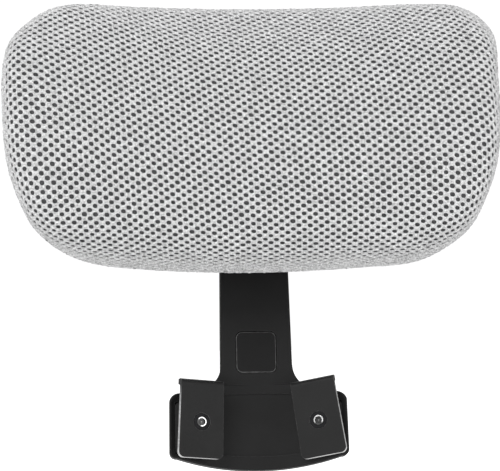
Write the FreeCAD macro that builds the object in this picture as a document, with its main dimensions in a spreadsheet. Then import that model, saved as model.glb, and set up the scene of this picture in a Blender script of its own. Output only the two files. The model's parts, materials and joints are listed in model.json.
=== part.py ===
import FreeCAD, Part
import math
import os
import Sketcher
from FreeCAD import Placement, Rotation, Vector

# Clamp-on chair headrest: a curved base plate with a neck sleeve, two hook clamps, a lift
# blade locked by a sprung button, and a hinged cushion on a shell.
# Frame: +X to the sitter's left, -Y towards the sitter (front), +Z up. The origin is on the
# front of the base plate, midway between the clamp bolts. "left" pieces are on the -X side.
# The base and neck are drawn upright, then leant rearwards about the X axis.

SIZES = dict(
    # Angles in degrees: lean of the neck, turn of each clamp about the vertical
    lean=12, clamp_turn=17,
    # Base plate, curved about a vertical line in front of it
    plate_radius=130, plate_thickness=8, plate_sweep=25.5, plate_half=52, plate_height=68,
    # Neck sleeve and the fillets from it to the plate
    neck_depth=11.2, neck_half_low=21.3, neck_half_top=20.2, neck_top=108, wing_fillet=14,
    recess_depth=0.9, channel_half=15.2, channel_low=-18,
    # Button, its pocket and the lock pin
    button_z=41.9, pocket_width=24.4, pocket_height=25.2, pocket_depth=6.2, pocket_corner=4,
    cap_width=23.4, cap_height=24.2, cap_thickness=2.6, cap_corner=3.6,
    pin_radius=2.8, pin_hole=2.85, disc_radius=7, disc_thickness=2,
    # Rear cover with the spring housing
    cover_thickness=3, cover_half=19.4, housing_radius=9.5, housing_length=9.3,
    housing_bore=7.5, cover_screw=1.3,
    # Clamp bolts and washers
    bolt_radius=3, bolt_length=25.2, bolt_hole=3.05, head_radius=5, head_height=6,
    washer_radius=6.2, washer_thickness=0.95, clamp_x=38, clamp_z=-1.6,
    # Hooks and their threaded inserts; hook_front is the distance in front of the plate
    hook_height=45.3, hook_top=24.6, hook_width_top=25.6, hook_width_low=26.6,
    hook_thickness=3, hook_front=16, lip_length=7.5,
    insert_radius=4.1, insert_length=11.5, flange_radius=4.9, rim_radius=4.7,
    # Lift blade with hinge eye and slot
    blade_half=15, blade_thickness=3, blade_low=-16.5, eye_z=155, eye_radius=7, eye_bore=4,
    slot_radius=3.1, travel=48,
    # Hinge bracket
    ear_thickness=2.5, ear_inside=16.65, ear_radius=8, web_thickness=2.5,
    # Cushion, shell and board
    cushion_half=142.5, cushion_top=243.5, cushion_low=88.5, cushion_depth=32,
    shell_half=131, shell_top=235, shell_low=102, shell_corner=38, shell_thickness=2.5,
    rim_depth=9, coat=3,
    board_half=124, board_top=228, board_low=106, board_corner=28, board_thickness=5,
    # Curved rear surface: radius in plan, y and z of its middle, slope dy/dz
    curve_radius=330, back_y=22, middle_z=166, back_slope=0.16,
)

doc = FreeCAD.newDocument("Headrest")
sheet = doc.addObject("Spreadsheet::Sheet", "dims")
for row, (name, size) in enumerate(SIZES.items(), 1):
    sheet.set("A%d" % row, name)
    sheet.set("B%d" % row, str(size))
    sheet.setAlias("B%d" % row, name)
doc.recompute()


class Dim:
    """A number with the sheet expression that gives it."""

    def __init__(self, value, text):
        self.value = float(value)
        self.text = text

    @staticmethod
    def of(x):
        return x if isinstance(x, Dim) else Dim(x, "(%.6f)" % x)

    def __add__(self, other):
        other = Dim.of(other)
        return Dim(self.value + other.value, "(%s + %s)" % (self.text, other.text))

    def __radd__(self, other):
        return Dim.of(other) + self

    def __sub__(self, other):
        other = Dim.of(other)
        return Dim(self.value - other.value, "(%s - %s)" % (self.text, other.text))

    def __rsub__(self, other):
        return Dim.of(other) - self

    def __mul__(self, other):
        other = Dim.of(other)
        return Dim(self.value * other.value, "(%s * %s)" % (self.text, other.text))

    def __truediv__(self, other):
        other = Dim.of(other)
        return Dim(self.value / other.value, "(%s / %s)" % (self.text, other.text))

    def __neg__(self):
        return Dim(-self.value, "(0 - %s)" % self.text)

    def sin(self):
        return Dim(math.sin(math.radians(self.value)), "sin(%s)" % self.text)

    def cos(self):
        return Dim(math.cos(math.radians(self.value)), "cos(%s)" % self.text)


class Dims:
    """The driving dimensions, one attribute for each alias of the sheet."""


dims = Dims()
for name, size in SIZES.items():
    setattr(dims, name, Dim(size, "dims." + name))


# --- sketches and PartDesign features --------------------------------------------------------
def vector(*xyz):
    return Vector(*[Dim.of(v).value for v in xyz])


def bind(obj, prop, size):
    size = Dim.of(size)
    setattr(obj, prop, size.value)
    if "dims." in size.text:
        obj.setExpression(prop, size.text)


def new_body(name):
    return doc.addObject("PartDesign::Body", name)


def sketch(body, name, at=0.0, plane="XZ_Plane"):
    """Sketch on the XZ plane moved to y = at, or on the XY plane moved to z = at."""
    sk = body.newObject("Sketcher::SketchObject", name)
    support = next(o for o in body.Origin.OriginFeatures if o.Role == plane)
    sk.AttachmentSupport = [(support, "")]
    sk.MapMode = "FlatFace"
    # The XZ plane's normal points along -Y
    offset = -Dim.of(at) if plane == "XZ_Plane" else at
    sk.AttachmentOffset = Placement(vector(0, 0, offset), Rotation())
    return sk


def constrain(sk, size, kind, *where):
    index = sk.addConstraint(Sketcher.Constraint(kind, *where, size.value))
    if "dims." in size.text:
        sk.setExpression("Constraints[%d]" % index, size.text)


def outline(sk, points, arcs={}):
    """Closed outline through points; arcs = {segment: point on the way} bends a segment."""
    first, count = sk.GeometryCount, len(points)
    corners = [(Dim.of(x), Dim.of(y)) for x, y in points]
    spots = [vector(x, y, 0) for x, y in corners]
    for i in range(count):
        start, end = spots[i], spots[(i + 1) % count]
        if i in arcs:
            middle = vector(*arcs[i], 0)
            if (middle - start).cross(end - start).z < 0:
                start, end = end, start
            sk.addGeometry(Part.Arc(start, middle, end))
        else:
            sk.addGeometry(Part.LineSegment(start, end))

    def start_point(i):
        """Which end of segment i, 1 or 2, lies on corner i: an arc may run backwards."""
        if i in arcs and (sk.Geometry[first + i].StartPoint - spots[i]).Length > 1e-6:
            return 2
        return 1

    for i in range(count):
        edge, following = first + i, (i + 1) % count
        radius = sk.Geometry[edge].Radius if i in arcs else None
        near = start_point(i)
        constrain(sk, corners[i][0], "DistanceX", -1, 1, edge, near)
        constrain(sk, corners[i][1], "DistanceY", -1, 1, edge, near)
        sk.addConstraint(Sketcher.Constraint("Coincident", edge, 3 - near,
                                             first + following, start_point(following)))
        if i in arcs:
            sk.addConstraint(Sketcher.Constraint("Radius", edge, radius))


def rect(half, low, top):
    return [(-half, low), (half, low), (half, top), (-half, top)]


def ring(sk, x, y, radius):
    x, y, radius = Dim.of(x), Dim.of(y), Dim.of(radius)
    edge = sk.addGeometry(Part.Circle(vector(x, y, 0), Vector(0, 0, 1), radius.value))
    constrain(sk, x, "DistanceX", -1, 1, edge, 3)
    constrain(sk, y, "DistanceY", -1, 1, edge, 3)
    constrain(sk, radius, "Radius", edge)


def extrusion(kind, body, sk, length, reverse, symmetric):
    feature = body.newObject("PartDesign::" + kind, "%s_%s" % (sk.Name, kind.lower()))
    feature.Profile = sk
    bind(feature, "Length", length)
    feature.Reversed = reverse
    if symmetric:
        feature.SideType = "Symmetric"
    doc.recompute()
    return feature


def pad(body, sk, length, reverse=True, symmetric=False):
    """Pad, towards +Y for an XZ sketch unless reverse is off."""
    return extrusion("Pad", body, sk, length, reverse, symmetric)


def pocket(body, sk, length, reverse=False, symmetric=False):
    """Pocket, towards +Y for an XZ sketch unless reverse is on."""
    before = body.Shape.Volume
    extrusion("Pocket", body, sk, length, reverse, symmetric)
    if not body.Shape.Volume < before - 1e-6:
        raise RuntimeError("pocket %s cuts nothing" % sk.Name)


def extruded(name, points, y, depth, arcs={}):
    """New body: the outline padded from y towards +Y. Gives the body and its pad."""
    body = new_body(name)
    sk = sketch(body, name + "_outline", y)
    outline(sk, points, arcs)
    return body, pad(body, sk, depth)


def drill(body, name, y, radius, depth, centres=((0, 0),), **direction):
    """Round pockets along Y from y."""
    sk = sketch(body, name, y)
    for x, z in centres:
        ring(sk, x, z, radius)
    pocket(body, sk, depth, **direction)


def soften(body, feature, radius, pick):
    """Rounds the edges of the feature that pick accepts."""
    names = ["Edge%d" % i for i, e in enumerate(feature.Shape.Edges, 1) if pick(e)]
    fillet = body.newObject("PartDesign::Fillet", feature.Name + "_fillet")
    fillet.Base = (feature, names)
    bind(fillet, "Radius", radius)
    doc.recompute()
    return fillet


def spans_y(length):
    """Picks the edges that reach over more than length along Y."""
    return lambda e: e.BoundBox.YLength > length


# --- primitives and booleans -----------------------------------------------------------------
AXES = {"x": Rotation(Vector(0, 1, 0), 90), "y": Rotation(Vector(1, 0, 0), -90), "z": Rotation()}


def primitive(kind, name, sizes, place, axis, frame=Placement()):
    """Primitive at place in the frame, its own z turned along +axis."""
    solid = doc.addObject("Part::" + kind, name)
    for prop, size in sizes.items():
        bind(solid, prop, size)
    solid.Placement = frame.multiply(Placement(vector(*place), AXES[axis]))
    return solid


def box(name, x_range, y_range, z_range, frame=Placement()):
    ranges = [(Dim.of(a), Dim.of(b)) for a, b in (x_range, y_range, z_range)]
    sizes = {prop: b - a for prop, (a, b) in zip(("Length", "Width", "Height"), ranges)}
    return primitive("Box", name, sizes, [a for a, b in ranges], "z", frame)


def rod(name, radius, place, long, axis="y", frame=Placement()):
    return primitive("Cylinder", name, {"Radius": radius, "Height": long}, place, axis, frame)


def rods(name, radius, places, y, long, on_back=False):
    """Rods along Y at each (x, z); on_back measures y from the curved rear surface."""
    return [rod("%s_%d" % (name, i), radius, (x, y + (back(x, z) if on_back else 0), z), long)
            for i, (x, z) in enumerate(places)]


def cone(name, radius_start, radius_end, place, long):
    sizes = {"Radius1": radius_start, "Radius2": radius_end, "Height": long}
    return primitive("Cone", name, sizes, place, "y")


def hexagon(name, across, place, long, axis="y"):
    """Hexagonal prism, across = width over its flats."""
    sizes = {"Circumradius": across / math.sqrt(3), "Height": long}
    solid = primitive("Prism", name, sizes, place, axis)
    solid.Polygon = 6
    return solid


def fuse(name, parts):
    result = doc.addObject("Part::MultiFuse", name)
    result.Shapes = parts
    result.Refine = True
    doc.recompute()
    return result


def cut(name, base, tools):
    result = doc.addObject("Part::Cut", name)
    result.Base = base
    result.Tool = tools[0] if len(tools) == 1 else fuse(name + "_tools", tools)
    doc.recompute()
    return result


def common(name, base, tool):
    result = doc.addObject("Part::Common", name)
    result.Base = base
    result.Tool = tool
    doc.recompute()
    return result


def group(name, parts):
    result = doc.addObject("Part::Compound", name)
    result.Links = parts
    doc.recompute()
    return result


def feature(name, shape):
    result = doc.addObject("Part::Feature", name)
    result.Shape = shape
    return result


def socket_screw(name, x, z, shank, head, key):
    """Screw along Y; shank, head and key are (radius or width over flats, y, length)."""
    solids = [rod("%s_%s" % (name, part), radius, (x, y, z), long)
              for part, (radius, y, long) in (("shank", shank), ("head", head))]
    across, key_y, key_long = key
    return cut(name, fuse(name + "_fuse", solids),
               [hexagon(name + "_key", across, (x, key_y, z), key_long)])


PIECES = []


def piece(obj, label, placement=None):
    """Marks obj as a finished piece to be exported."""
    obj.Label = label
    if placement is not None:
        obj.Placement = placement
    PIECES.append(obj)


# --- places shared by several pieces ---------------------------------------------------------
LEAN = Placement(Vector(), Rotation(Vector(1, 0, 0), -dims.lean.value))


def plate_front(x):
    """y of the front face of the base plate."""
    radius = dims.plate_radius.value
    return -(radius - math.sqrt(max(radius * radius - x * x, 0)))


def clamp_frame(sign):
    """Frame of a clamp bolt: origin on the plate's front, y along the bolt."""
    x = dims.clamp_x.value
    return Placement(vector(sign * x, plate_front(x), dims.clamp_z),
                     Rotation(Vector(0, 0, 1), -sign * dims.clamp_turn.value))


CLAMPS = {"left": clamp_frame(-1), "right": clamp_frame(1)}
HOOK_ROLL = {"left": 2.45, "right": -7.9}  # degrees about the bolt
BOSS_REAR = 8.2  # y of the face behind the plate that the washer lies on

COVER_SCREWS = [(x, z) for z in (98.0, 66.0, 12.0, -12.0) for x in (-17.7, 17.7)]
BLADE_FRONT = dims.plate_thickness + 0.1
BLADE_REAR = BLADE_FRONT + dims.blade_thickness
DISC_FRONT = BLADE_REAR + 0.05
PIN_TIP_RADIUS = dims.pin_radius - 0.4
BORE_DEPTH = dims.housing_length + 1.3  # spring bore, from the front of the rear cover

EYE_Y = BLADE_REAR - dims.eye_radius
HINGE = LEAN.multVec(vector(0, EYE_Y, dims.eye_z))
HINGE_FRAME = Placement(HINGE, Rotation())
EAR_OUTSIDE = dims.ear_inside + dims.ear_thickness
WEB_FRONT = 25.0
WEB_REAR = WEB_FRONT + dims.web_thickness.value


# --- base bracket: curved plate with the neck sleeve, one moulding ---------------------------
def strip(name, inner, outer, low, high):
    """Curved strip about the vertical line plate_radius in front of the plate."""
    body = new_body(name)
    sk = sketch(body, name + "_plan", low, "XY_Plane")
    centre = dims.plate_radius
    sine, cosine = dims.plate_sweep.sin(), dims.plate_sweep.cos()
    outline(sk, [(-(inner * sine), inner * cosine - centre), (inner * sine, inner * cosine - centre),
                 (outer * sine, outer * cosine - centre), (-(outer * sine), outer * cosine - centre)],
            {0: (0, inner - centre), 2: (0, outer - centre)})
    pad(body, sk, high - low, reverse=False)
    return body


def plate():
    half_height = dims.plate_height / 2
    body = strip("plate", dims.plate_radius, dims.plate_radius + dims.plate_thickness,
                 -half_height, half_height)
    # All between the large rectangle and the plate's outline is cut away
    trim = sketch(body, "plate_trim")
    outline(trim, rect(70, -45, 45))
    half = dims.plate_half
    outline(trim, [(4 - half, -20.8), (half - 4, -20.8), (half, -17.0), (half - 0.3, 12.2),
                   (half - 7.5, 17.0), (35.2, 20.0), (22.5, 22.8), (-22.5, 22.8), (-35.2, 20.0),
                   (7.5 - half, 17.0), (0.3 - half, 12.2), (-half, -17.0)],
            {0: (0, -27.6), 1: (half - 1.0, -19.7), 11: (1.0 - half, -19.7),
             3: (half - 2.6, 15.7), 9: (2.6 - half, 15.7)})
    before_rounding = sketch_pocket = body
    pocket(sketch_pocket, trim, 90, symmetric=True)

    def on_front(edge):
        ends = [v.Point for v in edge.Vertexes]
        return all(abs(p.y - plate_front(p.x)) < 0.02 for p in ends)

    soften(body, before_rounding.Tip, 1.0, on_front)
    return body


def wings():
    """Web with concave upper corners that joins the neck to the plate."""
    half, top, radius = 35.2, dims.plate_height / 2, dims.wing_fillet
    diagonal = radius.value * math.cos(math.radians(45))
    return extruded("fillet_wings",
                    [(-half, 14), (half, 14), (half, top - radius), (half - radius, top),
                     (radius - half, top), (-half, top - radius)], 0, 6.0,
                    {2: (half - diagonal, top - diagonal), 4: (diagonal - half, top - diagonal)})[0]


def neck():
    low, top = dims.neck_half_low, dims.neck_half_top
    body, block = extruded("neck_block",
                           [(-low, -24), (low, -24), (low, 26), (top, dims.neck_top),
                            (-top, dims.neck_top), (-low, 26)], 0, dims.neck_depth)
    soften(body, block, 1.2, lambda e: e.BoundBox.YMax < 0.01 and e.BoundBox.ZMin > 20
           and e.BoundBox.XLength < 5)
    return body


def field_recess():
    """Shallow recess that follows the curved front of the plate."""
    field = strip("field_strip", dims.plate_radius - 1.5, dims.plate_radius + dims.recess_depth,
                  -24.0, 24.0)
    prism = new_body("field_prism")
    sk = sketch(prism, "field_outline")
    outline(sk, [(-47.6, -15.2), (47.6, -15.2), (47.6, 11.5), (41.0, 14.6),
                 (22, 16.4), (-22, 16.4), (-41.0, 14.6), (-47.6, 11.5)],
            {0: (0, -19.6), 4: (0, 17.2)})
    pad(prism, sk, 60, symmetric=True)
    return common("field_recess", field, prism)


def button_block(name, width, height, depth, corner, long_edge):
    """Rectangle centred on the button, padded from y = 0, its corners rounded."""
    middle = dims.button_z
    body, block = extruded(name, rect(width / 2, middle - height / 2, middle + height / 2),
                           0, depth)
    return body, soften(body, block, corner, spans_y(long_edge))


def base_bracket():
    boss_front = 2
    solids = [plate(), wings(), neck()]
    solids += [rod(side + "_boss", 8, (0, boss_front, 0), BOSS_REAR - boss_front, frame=frame)
               for side, frame in CLAMPS.items()]
    blank = fuse("base_blank", solids)
    button_pocket = button_block("button_pocket", dims.pocket_width, dims.pocket_height,
                                 dims.pocket_depth, dims.pocket_corner, 3)[0]
    tools = [field_recess(), button_pocket,
             box("channel", (-dims.channel_half, dims.channel_half), (dims.plate_thickness, 30),
                 (dims.channel_low, 130)),
             rod("pin_guide", dims.pin_hole, (0, 5, dims.button_z), 6)]
    tools += rods("pilot", dims.cover_screw, COVER_SCREWS, 4.2, 10)
    tools += [box("rear_flat", (-30, 30), (dims.neck_depth, 30), (-40, 130))]
    for side, frame in CLAMPS.items():
        tools += [rod(side + "_bolt_hole", dims.bolt_hole, (0, -12, 0), 40, frame=frame),
                  box(side + "_pad_seat", (-11.05, 11.05), (-8, 0.9), (-17.05, 13.05), frame),
                  rod(side + "_boss_face", 9, (0, BOSS_REAR, 0), 8, frame=frame)]
    piece(cut("base_cut", blank, tools), "base_bracket", LEAN)


# --- rear cover of the neck, button, pin and spring ------------------------------------------
def rear_cover():
    front = dims.neck_depth
    body, blank = extruded("rear_cover", rect(dims.cover_half, -20, dims.neck_top - 0.4),
                           front, dims.cover_thickness)
    blank = soften(body, blank, 4.0, spans_y(2))
    near_rear = (front + dims.cover_thickness).value - 0.1
    soften(body, blank, 1.0, lambda e: e.BoundBox.YMin > near_rear)
    housing = sketch(body, "spring_boss", front + 1)
    ring(housing, 0, dims.button_z, dims.housing_radius)
    pad(body, housing, dims.housing_length + 2)
    drill(body, "spring_bore", front, dims.housing_bore, BORE_DEPTH, [(0, dims.button_z)])
    drill(body, "screw_holes", front, 1.35, 20, COVER_SCREWS)
    drill(body, "screw_sinks", front + 1.6, 2.75, 10, COVER_SCREWS)
    piece(body, "neck_rear_cover", LEAN)


def rear_cover_screws():
    front = dims.neck_depth
    screws = [socket_screw("cover_screw_%d" % i, x, z, shank=(dims.cover_screw, front - 6.9, 8.6),
                           head=(2.6, front + 1.62, 1.5), key=(2.5, front + 2.2, 2.0))
              for i, (x, z) in enumerate(COVER_SCREWS)]
    piece(group("cover_screws_all", screws), "rear_cover_screws", LEAN)


def lock_spring():
    """Helical spring between the lock disc and the end of the spring housing."""
    gap = 0.02
    start = (DISC_FRONT + dims.disc_thickness).value + gap
    end = (dims.neck_depth + BORE_DEPTH).value - gap
    coil_radius, wire_radius, turns = 4.6, 0.6, 4.5
    rise = end - start - 2 * wire_radius
    helix = Part.makeHelix(rise / turns, rise, coil_radius)
    helix.translate(Vector(0, 0, wire_radius))
    section = Part.makeCircle(wire_radius, Vector(coil_radius, 0, wire_radius), Vector(0, 1, 0))
    coil = Part.Wire(helix.Edges).makePipeShell([Part.Wire([section])], True, True)
    piece(feature("spring_coil", coil), "lock_spring",
          LEAN.multiply(Placement(vector(0, start, dims.button_z), AXES["y"])))


def lock_button():
    body, cap = button_block("button_cap", dims.cap_width, dims.cap_height,
                             dims.cap_thickness, dims.cap_corner, 2)
    soften(body, cap, 0.5, lambda e: e.BoundBox.YMax < 0.01)
    drill(body, "cap_socket", 0.9, PIN_TIP_RADIUS, 5, [(0, dims.button_z)])
    piece(body, "lock_button", LEAN)


def lock_pin():
    z = dims.button_z
    pin = fuse("pin_fuse", [rod("pin_tip", PIN_TIP_RADIUS, (0, 0.95, z), 3),
                            rod("pin_stem", dims.pin_radius, (0, 2.65, z), DISC_FRONT - 2.6),
                            rod("pin_disc", dims.disc_radius, (0, DISC_FRONT, z),
                                dims.disc_thickness)])
    piece(pin, "lock_pin", LEAN)


# --- lift blade: flat strip with a straight slot and a hinge eye at its top ------------------
def lift_blade():
    half, radius = dims.blade_half, dims.slot_radius
    body, strip_pad = extruded("blade", rect(half, dims.blade_low, dims.eye_z),
                               BLADE_FRONT, dims.blade_thickness)
    soften(body, strip_pad, 3.0, lambda e: e.BoundBox.YLength > 2 and e.BoundBox.ZMax < 0)
    eye = rod("eye_tube", dims.eye_radius, (-half, EYE_Y, dims.eye_z), half * 2, "x")
    slot_low = dims.button_z - dims.travel - 0.1
    slot_top = dims.button_z + 0.1
    tools = [rod("eye_bore", dims.eye_bore, (-30, EYE_Y, dims.eye_z), 60, "x"),
             box("slot_mid", (-radius, radius), (0, 30), (slot_low, slot_top)),
             rod("slot_low", radius, (0, 0, slot_low), 30),
             rod("slot_top", radius, (0, 0, slot_top), 30)]
    piece(cut("lift_cut", fuse("lift_fuse", [body, eye]), tools), "lift_blade", LEAN)


# --- clamp hardware, one set per side, in the frame of the clamp bolt ------------------------
def rubber_pad(name, half, low, top, front, thickness):
    body, block = extruded(name, rect(half, low, top), front, thickness)
    soften(body, block, 3.0, spans_y(thickness * 0.9))
    drill(body, name + "_hole", front, 6.0, thickness * 4, symmetric=True)
    return body


def clamp_bolt(side, frame):
    tip_y = -dims.hook_front
    washer_front = BOSS_REAR + 0.05
    head_front = washer_front + dims.washer_thickness + 0.05
    tip_long = 0.65
    solids = [rod(side + "_bolt_shank", dims.bolt_radius, (0, tip_y + 0.7, 0),
                  dims.bolt_length - tip_long),
              cone(side + "_bolt_tip", 2.75, dims.bolt_radius, (0, tip_y + 0.05, 0), tip_long),
              rod(side + "_bolt_head", dims.head_radius, (0, head_front, 0), dims.head_height),
              cone(side + "_bolt_crown", dims.head_radius, 4.4,
                   (0, head_front + dims.head_height, 0), 0.6)]
    tools = [hexagon(side + "_bolt_key", 5.0, (0, head_front + 3.0, 0), 8),
             rod(side + "_bolt_cup", 1.9, (0, -20, 0), tip_y + 0.9 + 20)]
    piece(cut(side + "_bolt_cut", fuse(side + "_bolt_fuse", solids), tools),
          side + "_clamp_bolt", frame)
    washer = rod(side + "_wash", dims.washer_radius, (0, washer_front, 0), dims.washer_thickness)
    piece(cut(side + "_wash_cut", washer,
              [rod(side + "_wash_bore", dims.bolt_hole, (0, 0, 0), 20)]),
          side + "_bolt_washer", frame)


def hook_insert(side, frame):
    front = -dims.hook_front
    insert = fuse(side + "_ins_fuse",
                  [rod(side + "_ins_body", dims.insert_radius, (0, front, 0), dims.insert_length),
                   rod(side + "_ins_flange", dims.flange_radius, (0, front, 0), 0.9),
                   rod(side + "_ins_rim", dims.rim_radius, (0, front + 3.1, 0), 0.9)])
    piece(cut(side + "_ins_cut", insert,
              [rod(side + "_ins_bore", dims.bolt_hole, (0, front - 1, 0), 20)]),
          side + "_hook_insert", frame)


def hook_plate(side, frame):
    """Upright plate with a lip at its top that reaches rearwards."""
    front = -dims.hook_front
    top, thickness = dims.hook_top, dims.hook_thickness
    half_top, half_low = dims.hook_width_top / 2, dims.hook_width_low / 2
    low = top - dims.hook_height
    body, step = extruded(side + "_hook", [(-half_low, low), (half_low, low),
                                           (half_top, top), (-half_top, top)], front, thickness)
    step = soften(body, step, 3.2, lambda e: e.BoundBox.YLength > 2 and e.BoundBox.ZMax < 0)
    lip = sketch(body, side + "_hook_lip", front)
    outline(lip, rect(half_top, top - thickness, top))
    step = pad(body, lip, dims.lip_length)
    front_y, top_z, thick = front.value, top.value, thickness.value
    # Outside of the bend, inside of the bend, then the corners of the lip
    step = soften(body, step, 2.9, lambda e: e.BoundBox.YMax < front_y + 0.01
                  and e.BoundBox.ZMin > top_z - 0.01)
    step = soften(body, step, 1.0, lambda e: e.BoundBox.XLength > 20
                  and abs(e.BoundBox.YMin - front_y - thick) < 0.01
                  and abs(e.BoundBox.ZMax - top_z + thick) < 0.01)
    soften(body, step, 1.6, lambda e: e.BoundBox.YMin > front_y + 5 and e.BoundBox.ZLength > 2)
    drill(body, side + "_hook_hole", front, dims.insert_radius + 0.06, 20, symmetric=True)
    drill(body, side + "_hook_sink", front + 1.0, dims.flange_radius + 0.1, 6, reverse=True)
    piece(body, side + "_hook_plate", frame)


def clamp(side):
    frame = LEAN.multiply(CLAMPS[side])
    roll = Rotation(Vector(0, 1, 0), HOOK_ROLL[side])
    rolled = frame.multiply(Placement(Vector(), roll))
    piece(rubber_pad(side + "_base_rubber", 11.0, -17.0, 13.0, front=-0.9, thickness=1.8),
          side + "_base_pad", frame)
    clamp_bolt(side, frame)
    hook_insert(side, frame)
    hook_plate(side, rolled)
    piece(rubber_pad(side + "_hook_rubber", 10.6, -18.5, 17.5,
                     front=dims.hook_thickness - dims.hook_front, thickness=1.0),
          side + "_hook_pad", rolled)


# --- hinge: pieces on the X axis of the hinge frame, and the bracket -------------------------
BRACKET_SCREWS = [(x, z) for z in (135.0, 167.0) for x in (-9.5, 9.5)]
WASHER_X = EAR_OUTSIDE + 3.8  # beyond the disc springs


def hinge_rod(name, radius, x, long):
    return rod(name, radius, (x, 0, 0), long, "x")


def bored(name, solid, radius=dims.bolt_hole):
    """The solid with a bore along the hinge axis."""
    return cut(name + "_cut", solid, [hinge_rod(name + "_bore", radius, -40, 80)])


def hinge_bushes():
    half, length, flange = dims.blade_half, 9.0, 1.0
    bushes = []
    for side, tube_x, flange_x in (("l", -half, -half - flange), ("r", half - length, half)):
        solids = [hinge_rod("bush_" + side, dims.eye_bore, tube_x, length),
                  hinge_rod("bush_flange_" + side, 6.5, flange_x, flange)]
        bushes.append(bored("bush_" + side, fuse("bush_fuse_" + side, solids)))
    piece(group("bush_all", bushes), "hinge_bushes", HINGE_FRAME)


def hinge_bracket():
    """Upright web with two ears that reach rearwards to the hinge axis."""
    body, web = extruded("hinge_u", rect(EAR_OUTSIDE, 128.0, 174.0),
                         WEB_FRONT, dims.web_thickness)
    soften(body, web, 2.0, spans_y(2))
    solids = [body]
    thickness, radius = dims.ear_thickness, dims.ear_radius.value
    for side, x in (("l", -EAR_OUTSIDE), ("r", dims.ear_inside)):
        x_range = (x, x + thickness)
        solids += [rod("ear_round_" + side, dims.ear_radius, (x, HINGE.y, HINGE.z), thickness, "x"),
                   box("ear_arm_" + side, x_range, (WEB_FRONT, HINGE.y),
                       (HINGE.z - radius, HINGE.z + radius)),
                   box("ear_root_" + side, x_range, (WEB_FRONT, WEB_FRONT + 4.5), (131, 171))]
    tools = [rod("ear_bore", dims.bolt_hole, (-40, HINGE.y, HINGE.z), 80, "x")]
    tools += rods("web_hole", 2.6, BRACKET_SCREWS, 20, 12)
    piece(cut("hinge_u_cut", fuse("hinge_u_fuse", solids), tools), "hinge_bracket")


def hinge_bolt():
    head_long, gap = 5.0, 0.05
    under_head = -EAR_OUTSIDE - gap
    solids = [hinge_rod("hinge_shank", dims.bolt_radius, under_head, 52.0),
              hinge_rod("hinge_head", 5.0, under_head - head_long, head_long)]
    key = hexagon("hinge_key", 5.0, (-EAR_OUTSIDE - 6, 0, 0), 3.6, "x")
    piece(cut("hinge_bolt_cut", fuse("hinge_bolt_fuse", solids), [key]), "hinge_bolt", HINGE_FRAME)


def hinge_friction_washers():
    """One washer between each bush flange and ear."""
    thickness = 0.55
    outside = dims.ear_inside - 0.05
    washers = [bored("fric_" + side, hinge_rod("fric_" + side, 7.5, x, thickness))
               for side, x in (("l", -outside), ("r", outside - thickness))]
    piece(group("fric_all", washers), "hinge_friction_washers", HINGE_FRAME)


def hinge_disc_springs():
    """Three coned discs outside the +X ear, turned alternately."""
    thickness, dish, pitch = 0.75, 0.45, 1.25
    bore, rim = 3.1, 6.2
    springs = []
    for i in range(3):
        x = EAR_OUTSIDE.value + 0.02 + i * pitch
        bore_x, rim_x = (x + dish, x) if i % 2 == 0 else (x, x + dish)
        profile = [Vector(bore_x, bore, 0), Vector(bore_x + thickness, bore, 0),
                   Vector(rim_x + thickness, rim, 0), Vector(rim_x, rim, 0)]
        face = Part.Face(Part.makePolygon(profile + profile[:1]))
        springs.append(feature("disc_spring_%d" % i,
                               face.revolve(Vector(0, 0, 0), Vector(1, 0, 0), 360)))
    piece(group("disc_all", springs), "hinge_disc_springs", HINGE_FRAME)


def hinge_washer_and_nut():
    piece(bored("hinge_wash", hinge_rod("hinge_wash", 6.2, WASHER_X, 1.2)),
          "hinge_bolt_washer", HINGE_FRAME)
    nut = fuse("nut_fuse", [hexagon("nut_hex", 10.0, (WASHER_X + 1.22, 0, 0), 4.6, "x"),
                            hinge_rod("nut_collar", 4.4, WASHER_X + 5.6, 1.6)])
    piece(bored("nut", nut, 3.01), "hinge_lock_nut", HINGE_FRAME)


# --- headrest: shell, board, foam and cover share one curved rear surface --------------------
SHELL_SCREWS = [(x, z) for z in (122.0, 212.0) for x in (-98.0, 98.0)]
SHELL_SCREWS += [(-50.0, 222.0), (50.0, 222.0)]


def back(x, z):
    """y of the curved rear surface."""
    rise = z - dims.middle_z.value
    return (dims.back_y.value - x * x / (2 * dims.curve_radius.value)
            - 14.0 * (rise / 78.0) ** 2 + dims.back_slope.value * rise)


def slab(name, offset, depth):
    """Solid from the rear surface shifted by offset in y to depth further rearwards."""
    grid = [[vector(x, back(x, z) + offset, z) for z in range(70, 263, 16)]
            for x in range(-156, 157, 24)]
    surface = Part.BSplineSurface()
    surface.interpolate(grid)
    return feature(name, surface.toShape().extrude(vector(0, depth, 0)))


def panel(name, half, low, top, corner):
    """Upright block with rounded corners, deep enough to cut out any slab."""
    body, block = extruded(name, rect(half, low, top), -60, 120)
    soften(body, block, corner, spans_y(50))
    return body


def shell_panel(name, inset):
    return panel(name, dims.shell_half - inset, dims.shell_low + inset,
                 dims.shell_top - inset, dims.shell_corner - inset)


def back_shell():
    tray = common("tray_blank", slab("tray_slab", -dims.rim_depth, dims.rim_depth),
                  shell_panel("tray_panel", 0))
    solids = [tray, box("bracket_boss", (-24, 24), (0, WEB_FRONT), (122, 180))]
    solids += rods("shell_boss", 5.5, SHELL_SCREWS, -2.4, 4.3, on_back=True)
    blank = fuse("tray_fuse", solids)
    # Hollows the tray and trims the bosses flush with its inner face
    hollow = common("tray_hollow", slab("hollow_slab", -60.0, 60.0 - dims.shell_thickness),
                    shell_panel("hollow_panel", 2.2))
    tools = [hollow] + rods("bracket_hole", 2.6, BRACKET_SCREWS, 0, 60)
    tools += rods("shell_hole", 1.8, SHELL_SCREWS, -12, 30, on_back=True)
    tools += rods("shell_sink", 3.9, SHELL_SCREWS, -0.1, 8, on_back=True)
    piece(cut("shell_cut", blank, tools), "back_shell")


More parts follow.
